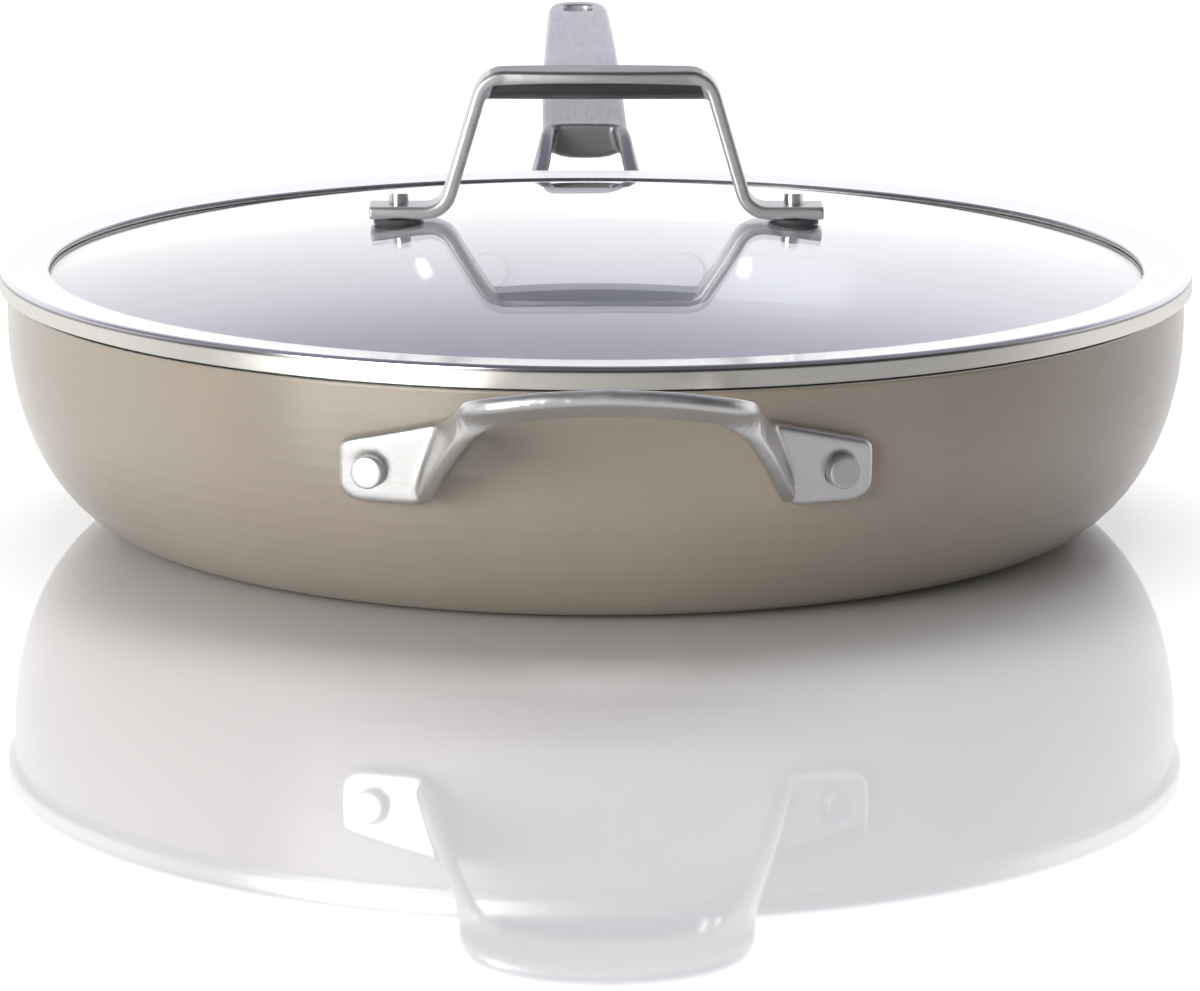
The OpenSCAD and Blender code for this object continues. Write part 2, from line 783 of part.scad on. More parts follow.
module cap_nut(side) {
    cap_round = cap_round_share * cap_r;
    bore_r = screw_r + screw_clear / 2;
    color(steel_colour)
        translate([side * screw_x, 0, foot_top_z])
            rotate_extrude($fn = 48)
                polygon(concat(
                    [[bore_r, 0], [cap_r, 0]],
                    corner([cap_r - cap_round, cap_h - cap_round], cap_round, 0, 90),
                    [[0, cap_h], [0, cap_h - cap_top], [bore_r, cap_h - cap_top]]
                ));
}
cap_round_share = 0.12;

pan_body();
helper_handle();
rivet(helper_angle(LEFT));  // helper_rivet_left
rivet(helper_angle(RIGHT));  // helper_rivet_right
long_handle();
rivet(long_angle(LEFT));  // long_rivet_left
rivet(long_angle(RIGHT));  // long_rivet_right
lid_rim();
lid_glass();
lid_handle();
upper_gasket(LEFT);  // upper_gasket_left
upper_gasket(RIGHT);  // upper_gasket_right
lower_gasket(LEFT);  // lower_gasket_left
lower_gasket(RIGHT);  // lower_gasket_right
washer(LEFT);  // washer_left
washer(RIGHT);  // washer_right
screw(LEFT);  // screw_left
screw(RIGHT);  // screw_right
cap_nut(LEFT);  // cap_nut_left
cap_nut(RIGHT);  // cap_nut_right
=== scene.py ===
from math import cos, pi, radians, sin

import bpy
from mathutils import Matrix, Vector
from mathutils.geometry import delaunay_2d_cdt


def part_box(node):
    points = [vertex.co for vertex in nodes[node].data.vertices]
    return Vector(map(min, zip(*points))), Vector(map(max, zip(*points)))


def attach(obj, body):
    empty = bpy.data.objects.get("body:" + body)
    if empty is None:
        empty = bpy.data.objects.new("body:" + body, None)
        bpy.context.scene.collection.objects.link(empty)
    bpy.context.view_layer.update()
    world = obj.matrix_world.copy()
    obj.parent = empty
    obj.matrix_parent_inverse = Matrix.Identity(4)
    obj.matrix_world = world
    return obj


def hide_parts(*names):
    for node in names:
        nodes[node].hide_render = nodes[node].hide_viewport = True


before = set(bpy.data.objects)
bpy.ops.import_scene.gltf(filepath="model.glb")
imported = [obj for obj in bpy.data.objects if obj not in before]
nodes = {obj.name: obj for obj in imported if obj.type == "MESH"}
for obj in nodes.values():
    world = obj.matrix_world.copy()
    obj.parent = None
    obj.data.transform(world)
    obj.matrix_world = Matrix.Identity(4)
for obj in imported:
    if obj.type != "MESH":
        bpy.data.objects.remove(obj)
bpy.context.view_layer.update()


# Colours, from the darkest shade of a finish to its palest

TAUPE = ((0.338, 0.287, 0.218, 1), (0.366, 0.312, 0.239, 1))
NONSTICK = ((0.40, 0.40, 0.425, 1), (0.45, 0.45, 0.475, 1))
HELPER_HANDLE_STEEL = ((0.53, 0.52, 0.50, 1), (0.61, 0.60, 0.58, 1))
LONG_HANDLE_STEEL = ((0.59, 0.58, 0.61, 1), (0.65, 0.64, 0.67, 1))
LID_HANDLE_STEEL = ((0.56, 0.55, 0.53, 1), (0.64, 0.63, 0.61, 1))
RIVET_STEEL = ((0.58, 0.58, 0.57, 1), (0.66, 0.66, 0.65, 1))
FASTENER_STEEL = ((0.66, 0.66, 0.67, 1), (0.76, 0.76, 0.77, 1))
SILICONE = ((0.055, 0.054, 0.055, 1), (0.085, 0.083, 0.083, 1))
TABLE_WHITE = ((0.86, 0.86, 0.86, 1), (0.88, 0.88, 0.88, 1))

# Single colours

TAUPE_FLECK = (0.50, 0.46, 0.40, 1)
BARE_ALUMINIUM = (0.80, 0.79, 0.77, 1)
NONSTICK_ON_RIVETS = (0.425, 0.425, 0.45, 1)
SATIN_LINE = (0.8, 0.79, 0.8, 1)
# Painted shade on the top face of the lid handle's grip
GRIP_TOP_PAINTED_SHADE = (0.25, 0.245, 0.25, 1)
# Painted shade at the long handle's root, and the dark belly under the lid handle's grip
BELLY_AND_PAINTED_SHADE_STEEL = (0.11, 0.10, 0.095, 1)
FLANGE_STEEL = (0.54, 0.53, 0.58, 1)
SKIRT_STEEL = (0.69, 0.67, 0.61, 1)
SKIRT_LINE = (0.58, 0.57, 0.55, 1)
# Painted shade for the bend between the lid rim's flange and its skirt
FOLD_PAINTED_SHADE = (0.13, 0.115, 0.10, 1)
GLASS_TINT = (0.93, 0.94, 0.97, 1)
GLASS_SHADE = (0.85, 0.86, 0.90, 1)
WHITE = (1, 1, 1, 1)
LILAC = (0.87, 0.86, 1.0, 1)

# Depths under a piece's top between which a band fades, in metres: the bare rim and the skirt are
# finishes, the darker top of the lid grip and the lid rim's bend are painted shade

BARE_RIM = (0.0005, 0.0002)
GRIP_TOP_SHADE_BAND = (0.0012, 0.0005)
SKIRT_START = (0.0020, 0.0008)
FOLD_SHADE_TOP = (0.0010, 0.0007)
FOLD_SHADE_BOTTOM = (0.0017, 0.0013)

# Radius of the pan's inner wall at the rivets, and the width over which their coating ends, in metres

WALL_INSIDE = 0.1558
RIVET_COATING_EDGE = 0.0003

# Distances behind the pan's axis between which painted shade darkens the long handle towards its root, in
# metres, and how far it does

HANDLE_SHADE_SPAN = (0.31, 0.20)
HANDLE_SHADE_DEPTH = 0.58

# The lid handle's grip: thickness of its bar, depth of its belly, rise of the arch between them and
# half its length between the legs, in metres, and how far the legs lean out for each metre down

GRIP_BAR = 0.0036
GRIP_BELLY = 0.0048
GRIP_ARCH = 0.0009
GRIP_HALF_LENGTH = 0.0277
LEG_LEAN = 0.33

# How strongly lines, the painted shade at the lid rim's bend and flecks show, from 0 to 1

SATIN_LINE_STRENGTH = 0.2
SKIRT_LINE_STRENGTH = 0.18
FOLD_SHADE_STRENGTH = 0.8
FLECK_STRENGTH = 0.35

# Ranges of an uneven surface's values that become lines, clouds, wipe marks and flecks

LINE_RANGE = (0.3, 0.7)
CLOUD_RANGE = (0.32, 0.68)
WIPE_RANGE = (0.5, 0.75)
FLECK_RANGE = (0.60, 0.78)

# Lines of the brushing in a metre, along each axis

LINES_ALONG_X = (60, 900, 900)
LINES_ALONG_Y = (900, 60, 900)
LINES_ALONG_RING = 5.0
LINES_ACROSS_RING = 2600.0

# Clouds in a metre of the pan and its handles, and of what is much smaller or larger

PAN_CLOUDS = 14.0
FASTENER_CLOUDS = 160.0
GASKET_CLOUDS = 220.0
TABLE_CLOUDS = 1.5

# Grains and wipe marks in a metre of any piece, and how much the marks are flattened on each axis

GRAINS = 2600.0
WIPES = 22.0
WIPES_FLATTENED = (1.0, 1.0, 7.0)

# Sharpness of a flat face and of the least worn edge, and what the most worn edge adds to a flat face

FLAT_SHARPNESS = 0.5
LEAST_WORN_SHARPNESS = 0.51
WORN_WIDTH = 0.1

# How far a face of the pan is turned up or in, from where its inner coating starts to where it is whole

TURNED_IN = (0.0, 0.1)

# How strongly the glass and the pan's coating bend light

GLASS_IOR = 1.5
COATING_IOR = 1.5


# Node helpers

# Numbers of a colour mix's sockets for its mask, its two colours and the blend
MASK, UNDER, OVER = 0, 6, 7
BLEND = 2


def connect(tree, value, socket):
    """Links an output to a socket, or sets the socket to a plain value."""
    if isinstance(value, bpy.types.NodeSocket):
        tree.links.new(value, socket)
    else:
        socket.default_value = value


def add(tree, kind, sockets=None, **options):
    """Adds a node, sets its options, and sets or links its inputs."""
    made = tree.nodes.new(kind)
    for name, value in options.items():
        setattr(made, name, value)
    for name, value in (sockets or {}).items():
        connect(tree, value, made.inputs[name])
    return made


def calculate(tree, operation, first, second=0.0, third=0.0):
    """One step of arithmetic on values."""
    made = add(tree, "ShaderNodeMath", {0: first, 1: second, 2: third}, operation=operation)
    return made.outputs["Value"]


def times(tree, first, *others):
    """Values multiplied together."""
    product = first
    for other in others:
        product = calculate(tree, "MULTIPLY", product, other)
    return product


def vector_step(tree, operation, *vectors):
    """One step of arithmetic on vectors."""
    return add(tree, "ShaderNodeVectorMath", dict(enumerate(vectors)), operation=operation).outputs


def spread(tree, value, low, high, to_low=0.0, to_high=1.0):
    """Maps a value from one range to another, softly at both ends."""
    made = add(
        tree, "ShaderNodeMapRange",
        {"Value": value, "From Min": low, "From Max": high, "To Min": to_low, "To Max": to_high},
        interpolation_type="SMOOTHSTEP",
    )
    return made.outputs["Result"]


def band(tree, height, top, depths, to_low=0.0, to_high=1.0):
    """Fades from a deeper level under a top to a shallower one."""
    deep, shallow = depths
    return spread(tree, height, top - deep, top - shallow, to_low, to_high)


def noise(tree, where, scale, detail, roughness, distortion=0.0):
    """Irregular values from 0 to 1."""
    made = add(
        tree, "ShaderNodeTexNoise",
        {
            "Vector": where, "Scale": scale, "Detail": detail, "Roughness": roughness,
            "Distortion": distortion,
        },
    )
    return made.outputs["Fac"]


def blend_colours(tree, mask, under, over):
    """One colour where the mask is 0 and another where it is 1."""
    made = add(tree, "ShaderNodeMix", data_type="RGBA")
    for number, value in ((MASK, mask), (UNDER, under), (OVER, over)):
        connect(tree, value, made.inputs[number])
    return made.outputs[BLEND]


def roughen(tree, plain, *changes):
    """A plain roughness that each mask in turn moves up or down by its amount."""
    level = plain
    for mask, amount in changes:
        level = calculate(tree, "MULTIPLY_ADD", mask, amount, level)
    return level


def bump(tree, height, strength, distance):
    """Fine relief for the shader's normal."""
    made = add(
        tree, "ShaderNodeBump", {"Height": height, "Strength": strength, "Distance": distance}
    )
    return made.outputs["Normal"]


def point_on_piece(tree):
    """A surface point's place in metres."""
    return add(tree, "ShaderNodeTexCoord").outputs["Object"]


def split(tree, vector):
    """A vector's three parts, by name."""
    return add(tree, "ShaderNodeSeparateXYZ", {"Vector": vector}).outputs


def level_part(tree, parts):
    """The level vector from the pan's axis to a point."""
    return add(tree, "ShaderNodeCombineXYZ", {"X": parts["X"], "Y": parts["Y"]}).outputs["Vector"]


def effect(name, inputs, outputs):
    """An empty shader group with its named sockets."""
    tree = bpy.data.node_groups.new(name, "ShaderNodeTree")
    for title, value in inputs.items():
        kind = "NodeSocketVector" if isinstance(value, tuple) else "NodeSocketFloat"
        socket = tree.interface.new_socket(title, in_out="INPUT", socket_type=kind)
        socket.default_value = value
    for title in outputs:
        tree.interface.new_socket(title, in_out="OUTPUT", socket_type="NodeSocketFloat")
    return tree, add(tree, "NodeGroupInput").outputs, add(tree, "NodeGroupOutput").inputs


def place(tree, group, **values):
    """Places a shader group with its own values, whose names are written with underscores."""
    made = add(tree, "ShaderNodeGroup", node_tree=group)
    for name, value in values.items():
        made.inputs[name.replace("_", " ")].default_value = value
    return made.outputs


def finish_material(name):
    """A material with its shader, named for a finish."""
    material = bpy.data.materials.new(name)
    material.use_nodes = True
    tree = material.node_tree
    return material, tree, tree.nodes["Principled BSDF"]


def fill(tree, shader, **values):
    """Links or sets the shader's sockets, whose names are written with underscores."""
    for name, value in values.items():
        connect(tree, value, shader.inputs[name.replace("_", " ")])


# Shared effects

def make_straight_brushing():
    """Fine lines of a satin finish, long on the axis that has few of them."""
    tree, given, out = effect("straight_brushing", {"Stretch": LINES_ALONG_X}, ["Lines"])
    stretched = vector_step(tree, "MULTIPLY", point_on_piece(tree), given["Stretch"])["Vector"]
    lines = noise(tree, stretched, scale=1.0, detail=4.0, roughness=0.62)
    tree.links.new(spread(tree, lines, *LINE_RANGE), out["Lines"])
    return tree


def make_ring_brushing():
    """Fine lines round the pan's axis, as a turned or rolled piece has."""
    tree, given, out = effect(
        "ring_brushing", {"Along": LINES_ALONG_RING, "Across": LINES_ACROSS_RING}, ["Lines"]
    )
    parts = split(tree, point_on_piece(tree))
    outwards = level_part(tree, parts)
    way = vector_step(tree, "NORMALIZE", outwards)["Vector"]
    along = add(tree, "ShaderNodeVectorMath", {0: way, "Scale": given["Along"]}, operation="SCALE")
    radius = vector_step(tree, "LENGTH", outwards)["Value"]
    across = times(tree, calculate(tree, "ADD", radius, parts["Z"]), given["Across"])
    rise = add(tree, "ShaderNodeCombineXYZ", {"Z": across}).outputs["Vector"]
    spot = vector_step(tree, "ADD", along.outputs["Vector"], rise)["Vector"]
    lines = noise(tree, spot, scale=1.0, detail=3.0, roughness=0.6)
    tree.links.new(spread(tree, lines, *LINE_RANGE), out["Lines"])
    return tree


def make_handling_marks():
    """Broad clouds, fine grain and faint wipe marks of a piece that has been handled."""
    tree, given, out = effect(
        "handling_marks", {"Cloud scale": PAN_CLOUDS, "Grain scale": GRAINS}, ["Clouds", "Grain", "Wipes"]
    )
    where = point_on_piece(tree)
    clouds = noise(tree, where, given["Cloud scale"], detail=5.0, roughness=0.55, distortion=0.4)
    grain = noise(tree, where, given["Grain scale"], detail=2.0, roughness=0.7)
    flattened = vector_step(tree, "MULTIPLY", where, WIPES_FLATTENED)["Vector"]
    wipes = noise(tree, flattened, WIPES, detail=6.0, roughness=0.7, distortion=1.2)
    tree.links.new(spread(tree, clouds, *CLOUD_RANGE), out["Clouds"])
    tree.links.new(grain, out["Grain"])
    tree.links.new(spread(tree, wipes, *WIPE_RANGE), out["Wipes"])
    return tree


def make_worn_edges():
    """Edges that rubbing has polished."""
    tree, given, out = effect("worn_edges", {"Width": WORN_WIDTH}, ["Mask"])
    bend = add(tree, "ShaderNodeNewGeometry").outputs["Pointiness"]
    most_worn = calculate(tree, "ADD", given["Width"], FLAT_SHARPNESS)
    worn = add(
        tree, "ShaderNodeMapRange",
        {"Value": bend, "From Min": LEAST_WORN_SHARPNESS, "From Max": most_worn},
    )
    tree.links.new(worn.outputs["Result"], out["Mask"])
    return tree


straight_brushing = make_straight_brushing()
ring_brushing = make_ring_brushing()
handling_marks = make_handling_marks()
worn_edges = make_worn_edges()


# Finishes

def make_pan_coating():
    """Taupe satin coating outside, a pale grey nonstick one inside, and the bare rim between them."""
    material, tree, shader = finish_material("taupe_coating")
    marks = place(tree, handling_marks)
    parts = split(tree, point_on_piece(tree))
    facing = add(tree, "ShaderNodeNewGeometry").outputs["Normal"]
    outwards = vector_step(tree, "NORMALIZE", level_part(tree, parts))["Vector"]
    turned_out = vector_step(tree, "DOT_PRODUCT", outwards, facing)["Value"]
    turned_in = calculate(tree, "SUBTRACT", split(tree, facing)["Z"], turned_out)
    inside = spread(tree, turned_in, *TURNED_IN)
    bare = band(tree, parts["Z"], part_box("pan_body")[1].z, BARE_RIM)
    flecks = spread(tree, marks["Grain"], *FLECK_RANGE, to_high=FLECK_STRENGTH)
    outer = blend_colours(tree, flecks, blend_colours(tree, marks["Clouds"], *TAUPE), TAUPE_FLECK)
    inner = blend_colours(tree, marks["Clouds"], *NONSTICK)
    coated = blend_colours(tree, inside, outer, inner)
    fill(
        tree, shader,
        Base_Color=blend_colours(tree, bare, coated, BARE_ALUMINIUM),
        Metallic=bare,
        Roughness=roughen(tree, 0.40, (marks["Wipes"], 0.06), (bare, -0.18)),
        IOR=COATING_IOR,
        Coat_Weight=0.7,
        Coat_Roughness=0.2,
        Normal=bump(tree, marks["Grain"], strength=0.10, distance=0.0002),
    )
    return material


def make_satin_steel(name, stretch, rough, shades, darkening_mask=None, top_shade_mask=None):
    """Satin steel, brushed along one axis, with painted shade where top_shade_mask is 1, and darker where
    darkening_mask is 1: painted shade at the long handle's root, and the lid grip's dark belly.
    """
    material, tree, shader = finish_material(name)
    brushed = place(tree, straight_brushing, Stretch=stretch)["Lines"]
    marks = place(tree, handling_marks)
    worn = place(tree, worn_edges)["Mask"]
    clouded = blend_colours(tree, marks["Clouds"], *shades)
    colour = blend_colours(tree, times(tree, brushed, SATIN_LINE_STRENGTH), clouded, SATIN_LINE)
    # Painted shade on the top face of the lid handle's grip
    if top_shade_mask:
        colour = blend_colours(tree, top_shade_mask(tree), colour, GRIP_TOP_PAINTED_SHADE)
    # Painted shade at the long handle's root, and the dark belly under the lid handle's grip
    if darkening_mask:
        colour = blend_colours(tree, darkening_mask(tree), colour, BELLY_AND_PAINTED_SHADE_STEEL)
    fill(
        tree, shader,
        Base_Color=colour,
        Metallic=1.0,
        Roughness=roughen(tree, rough, (brushed, 0.08), (marks["Wipes"], 0.05), (worn, -0.10)),
        Normal=bump(tree, brushed, strength=0.12, distance=0.0001),
    )
    return material


def under_the_grip(tree):
    """1 on the dark belly under the lid handle's grip, between its legs."""
    parts = split(tree, point_on_piece(tree))
    bar_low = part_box("lid_handle")[1].z - GRIP_BAR
    belly_low = bar_low - GRIP_BELLY
    seam, belly_fade, side_fade = 0.0002, 0.0004, 0.0003
    across = calculate(tree, "ABSOLUTE", parts["X"])
    share = calculate(tree, "POWER", calculate(tree, "DIVIDE", across, GRIP_HALF_LENGTH), 2.0)
    arch_low = calculate(tree, "MULTIPLY_ADD", share, -GRIP_ARCH, bar_low + GRIP_ARCH - seam)
    depth = calculate(tree, "SUBTRACT", arch_low, parts["Z"])
    below = spread(tree, depth, -seam / 2, seam)
    above = spread(tree, parts["Z"], belly_low - belly_fade, belly_low)
    leaned = times(tree, calculate(tree, "SUBTRACT", bar_low, parts["Z"]), LEG_LEAN)
    beside = calculate(tree, "SUBTRACT", across, leaned)
    between = spread(tree, beside, GRIP_HALF_LENGTH + side_fade, GRIP_HALF_LENGTH - side_fade)
    return times(tree, below, above, between)


def painted_shade_on_grip_top(tree):
    """1 on the top face of the lid handle's grip, which painted shade darkens."""
    height = split(tree, point_on_piece(tree))["Z"]
    return band(tree, height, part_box("lid_handle")[1].z, GRIP_TOP_SHADE_BAND)


def painted_shade_at_handle_root(tree):
    """Painted shade that rises along the long handle towards its fork, darkening it."""
    along = split(tree, point_on_piece(tree))["Y"]
    return spread(tree, along, *HANDLE_SHADE_SPAN, to_high=HANDLE_SHADE_DEPTH)


def make_rolled_steel():
    """Polished flange with a finely brushed skirt below it, and painted shade darkening the bend between
    them.
    """
    material, tree, shader = finish_material("rolled_steel_rim")
    brushed = place(tree, ring_brushing)["Lines"]
    marks = place(tree, handling_marks)
    height = split(tree, point_on_piece(tree))["Z"]
    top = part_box("lid_rim")[1].z
    skirt = band(tree, height, top, SKIRT_START, 1.0, 0.0)
    # Painted shade: a dark band at the bend between the flange and the skirt
    under_flange = band(tree, height, top, FOLD_SHADE_TOP, 1.0, 0.0)
    fold_shade_mask = times(tree, under_flange, band(tree, height, top, FOLD_SHADE_BOTTOM))
    colour = blend_colours(tree, skirt, FLANGE_STEEL, SKIRT_STEEL)
    colour = blend_colours(tree, times(tree, fold_shade_mask, FOLD_SHADE_STRENGTH), colour, FOLD_PAINTED_SHADE)
    skirt_lines = times(tree, skirt, SKIRT_LINE_STRENGTH, brushed)
    colour = blend_colours(tree, skirt_lines, colour, SKIRT_LINE)
    fill(
        tree, shader,
        Base_Color=colour,
        Metallic=1.0,
        Roughness=roughen(tree, 0.14, (skirt, 0.18), (brushed, 0.05), (marks["Wipes"], 0.03)),
        Normal=bump(tree, times(tree, brushed, skirt), strength=0.05, distance=0.0001),
    )
    return material


def make_turned_steel(name, rough, shades, coated_within=None):
    """Turned steel of the rivets and of the lid's fasteners, coated where it is inside the pan."""
    material, tree, shader = finish_material(name)
    marks = place(tree, handling_marks, Cloud_scale=FASTENER_CLOUDS)
    colour = blend_colours(tree, marks["Clouds"], *shades)
    bare = 1.0
    if coated_within:
        outwards = level_part(tree, split(tree, point_on_piece(tree)))
        radius = vector_step(tree, "LENGTH", outwards)["Value"]
        bare = spread(tree, radius, coated_within - RIVET_COATING_EDGE, coated_within)
        colour = blend_colours(tree, bare, NONSTICK_ON_RIVETS, colour)
    fill(
        tree, shader,
        Base_Color=colour,
        Metallic=bare,
        Roughness=roughen(tree, rough, (marks["Clouds"], 0.08)),
        Normal=bump(tree, marks["Grain"], strength=0.08, distance=0.0001),
    )
    return material


def make_lid_glass():
    """Clear tempered glass that lets the lamps' light through to the pan."""
    material, tree, shader = finish_material("tempered_glass")
    marks = place(tree, handling_marks)
    fill(
        tree, shader,
        Base_Color=GLASS_TINT,
        Metallic=0.0,
        Roughness=times(tree, marks["Wipes"], 0.02),
        IOR=GLASS_IOR,
        Transmission_Weight=1.0,
    )
    clear = add(tree, "ShaderNodeBsdfTransparent", {"Color": GLASS_SHADE})
    shadow = add(tree, "ShaderNodeLightPath").outputs["Is Shadow Ray"]
    mixed = add(
        tree, "ShaderNodeMixShader", {0: shadow, 1: shader.outputs["BSDF"], 2: clear.outputs["BSDF"]}
    )
    tree.links.new(mixed.outputs["Shader"], tree.nodes["Material Output"].inputs["Surface"])
    return material


def make_gasket_rubber():
    """Dark matt silicone."""
    material, tree, shader = finish_material("dark_silicone")
    marks = place(tree, handling_marks, Cloud_scale=GASKET_CLOUDS)
    fill(
        tree, shader,
        Base_Color=blend_colours(tree, marks["Clouds"], *SILICONE),
        Roughness=roughen(tree, 0.55, (marks["Grain"], 0.2)),
        Normal=bump(tree, marks["Grain"], strength=0.2, distance=0.0002),
    )
    return material


def dress(finish, *names):
    """Gives pieces their finish."""
    for name in names:
        for slot in nodes[name].material_slots:
            slot.link = "OBJECT"
            slot.material = finish


dress(make_pan_coating(), "pan_body")
dress(
    make_satin_steel("satin_helper_handle", LINES_ALONG_X, 0.34, HELPER_HANDLE_STEEL),
    "helper_handle",
)
dress(
    make_satin_steel(
        "satin_long_handle", LINES_ALONG_Y, 0.40, LONG_HANDLE_STEEL, darkening_mask=painted_shade_at_handle_root
    ),
    "long_handle",
)
dress(
    make_satin_steel(
        "satin_lid_handle", LINES_ALONG_X, 0.40, LID_HANDLE_STEEL, under_the_grip, painted_shade_on_grip_top
    ),
    "lid_handle",
)
dress(make_rolled_steel(), "lid_rim")
dress(
    make_turned_steel("frosted_rivets", 0.50, RIVET_STEEL, WALL_INSIDE),
    "helper_rivet_left", "helper_rivet_right", "long_rivet_left", "long_rivet_right",
)
dress(
    make_turned_steel("polished_fasteners", 0.10, FASTENER_STEEL),
    "washer_left", "washer_right", "screw_left", "screw_right", "cap_nut_left", "cap_nut_right",
)
dress(
    make_gasket_rubber(),
    "upper_gasket_left", "upper_gasket_right", "lower_gasket_left", "lower_gasket_right",
)


# The glass dome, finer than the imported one, in metres: its sheet, reach, rise, rounded edge and holes

glass_low, glass_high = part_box("lid_glass")
GLASS_SHEET = 0.004
GLASS_REACH = glass_high.x
GLASS_RISE = glass_high.z - glass_low.z - GLASS_SHEET
EDGE_RADIUS = 0.0012
EDGE_STEPS = 5
HOLE_RADIUS = 0.0033
HOLE_PITCH = 0.1064
HOLES = [Vector((side * HOLE_PITCH / 2, 0)) for side in (-1, 1)]
MIDDLE = Vector((0, 0))

# Points round the dome's edge, round each hole and on its rings, where each has more than the last

EDGE_POINTS = 240
HOLE_POINTS = 64
DOME_RINGS = 48
POINTS_A_RING = 5
FEWEST_POINTS = 12

# Shares of a hole's radius: rings close round it, where the dome's rings stop, and where its faces do

HOLE_RINGS = (1.15, 1.4)
RINGS_STOP = 1.6
FACES_STOP = 0.998

# Points nearer than this are one, in metres

SAME_POINT = 1e-7


def ring(centre, radius, count):
    """Points evenly round a circle."""
    angles = [2 * pi * i / count for i in range(count)]
    return [centre + Vector((cos(angle), sin(angle))) * radius for angle in angles]


def dome_height(spot):
    """Height of the dome's upper face over a point of its plan."""
    return glass_high.z - GLASS_RISE * spot.length_squared / GLASS_REACH ** 2


def dome_normal(spot):
    """The dome's upward direction over a point of its plan."""
    slope = 2 * GLASS_RISE / GLASS_REACH ** 2
    return Vector((slope * spot.x, slope * spot.y, 1)).normalized()


def clear_of_holes(spot, share):
    """Whether a point lies further from both holes' middles than a share of their radius."""
    return all((spot - hole).length > HOLE_RADIUS * share for hole in HOLES)


def plan_dome():
    """The dome's plan: its points, its faces, and the points round its edge and each hole."""
    flat_reach = GLASS_REACH - EDGE_RADIUS
    spots = ring(MIDDLE, flat_reach, EDGE_POINTS)
    outlines = [list(range(EDGE_POINTS))]
    for hole in HOLES:
        outlines.append(list(range(len(spots), len(spots) + HOLE_POINTS)))
        spots += ring(hole, HOLE_RADIUS, HOLE_POINTS)
    for hole in HOLES:
        for growth in HOLE_RINGS:
            spots += ring(hole, HOLE_RADIUS * growth, HOLE_POINTS)
    inner = [MIDDLE]
    for step in range(1, DOME_RINGS):
        inner += ring(MIDDLE, flat_reach * step / DOME_RINGS, max(FEWEST_POINTS, POINTS_A_RING * step))
    spots += [spot for spot in inner if clear_of_holes(spot, RINGS_STOP)]
    edges = [(line[i - 1], line[i]) for line in outlines for i in range(len(line))]
    plan, _, faces, _, _, _ = delaunay_2d_cdt(spots, edges, [], 0, SAME_POINT)
    kept = []
    for face in faces:
        middle = sum((plan[i] for i in face), Vector((0, 0))) / len(face)
        if clear_of_holes(middle, FACES_STOP):
            kept.append(list(face))
    return plan, kept, outlines


def rounded_edge():
    """Radius, drop under the upper face and lean of each row round the dome's edge, top to bottom."""
    arcs = [pi / 2 * (1 - i / EDGE_STEPS) for i in range(EDGE_STEPS + 1)]
    centre = GLASS_REACH - EDGE_RADIUS
    rows = [(centre + EDGE_RADIUS * cos(arc), -EDGE_RADIUS * (1 - sin(arc)), arc) for arc in arcs]
    for arc in reversed(arcs):
        drop = -GLASS_SHEET + EDGE_RADIUS * (1 - sin(arc))
        rows.append((centre + EDGE_RADIUS * cos(arc), drop, -arc))
    return rows


def make_dome():
    """The shallow dome with its two holes, as one even mesh with exact normals."""
    plan, kept, outlines = plan_dome()
    count = len(plan)
    points = [Vector((spot.x, spot.y, dome_height(spot))) for spot in plan]
    points += [Vector((spot.x, spot.y, dome_height(spot) - GLASS_SHEET)) for spot in plan]

    # Upper and lower face
    shapes = [(face, [dome_normal(plan[i]) for i in face]) for face in kept]
    for face in kept:
        under = face[::-1]
        shapes.append(([i + count for i in under], [-dome_normal(plan[i]) for i in under]))

    # Walls of the holes
    for line, hole in zip(outlines[1:], HOLES):
        for i in range(HOLE_POINTS):
            a, b = line[i - 1], line[i]
            in_a, in_b = ((hole - plan[v]).normalized().to_3d() for v in (a, b))
            shapes.append(([b, a, a + count, b + count], [in_b, in_a, in_a, in_b]))

    # Rounded edge
    rows, leans = [], []
    profile = rounded_edge()
    for number, (radius, drop, angle) in enumerate(profile):
        row, lean = [], []
        for v in outlines[0]:
            out = plan[v].normalized()
            lean.append((out.to_3d() * cos(angle) + dome_normal(plan[v]) * sin(angle)).normalized())
            if number == 0:
                row.append(v)
            elif number == len(profile) - 1:
                row.append(v + count)
            else:
                row.append(len(points))
                points.append(Vector((*(out * radius), dome_height(plan[v]) + drop)))
        rows.append(row)
        leans.append(lean)
    for k in range(len(rows) - 1):
        for i in range(EDGE_POINTS):
            corners = [(k, i - 1), (k + 1, i - 1), (k + 1, i), (k, i)]
            shapes.append(([rows[m][n] for m, n in corners], [leans[m][n] for m, n in corners]))

    mesh = bpy.data.meshes.new("glass_dome")
    mesh.from_pydata([tuple(point) for point in points], [], [face for face, _ in shapes])
    mesh.polygons.foreach_set("use_smooth", [True] * len(mesh.polygons))
    mesh.normals_split_custom_set([tuple(normal) for _, normals in shapes for normal in normals])
    mesh.materials.append(make_lid_glass())
    dome = bpy.data.objects.new("glass_dome", mesh)
    bpy.context.scene.collection.objects.link(dome)
    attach(dome, "lid")
    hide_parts("lid_glass")


make_dome()


# Softened edges of the cast and bent pieces

WELDS_IN_A_CELL = 50
SMOOTHING = 0.5


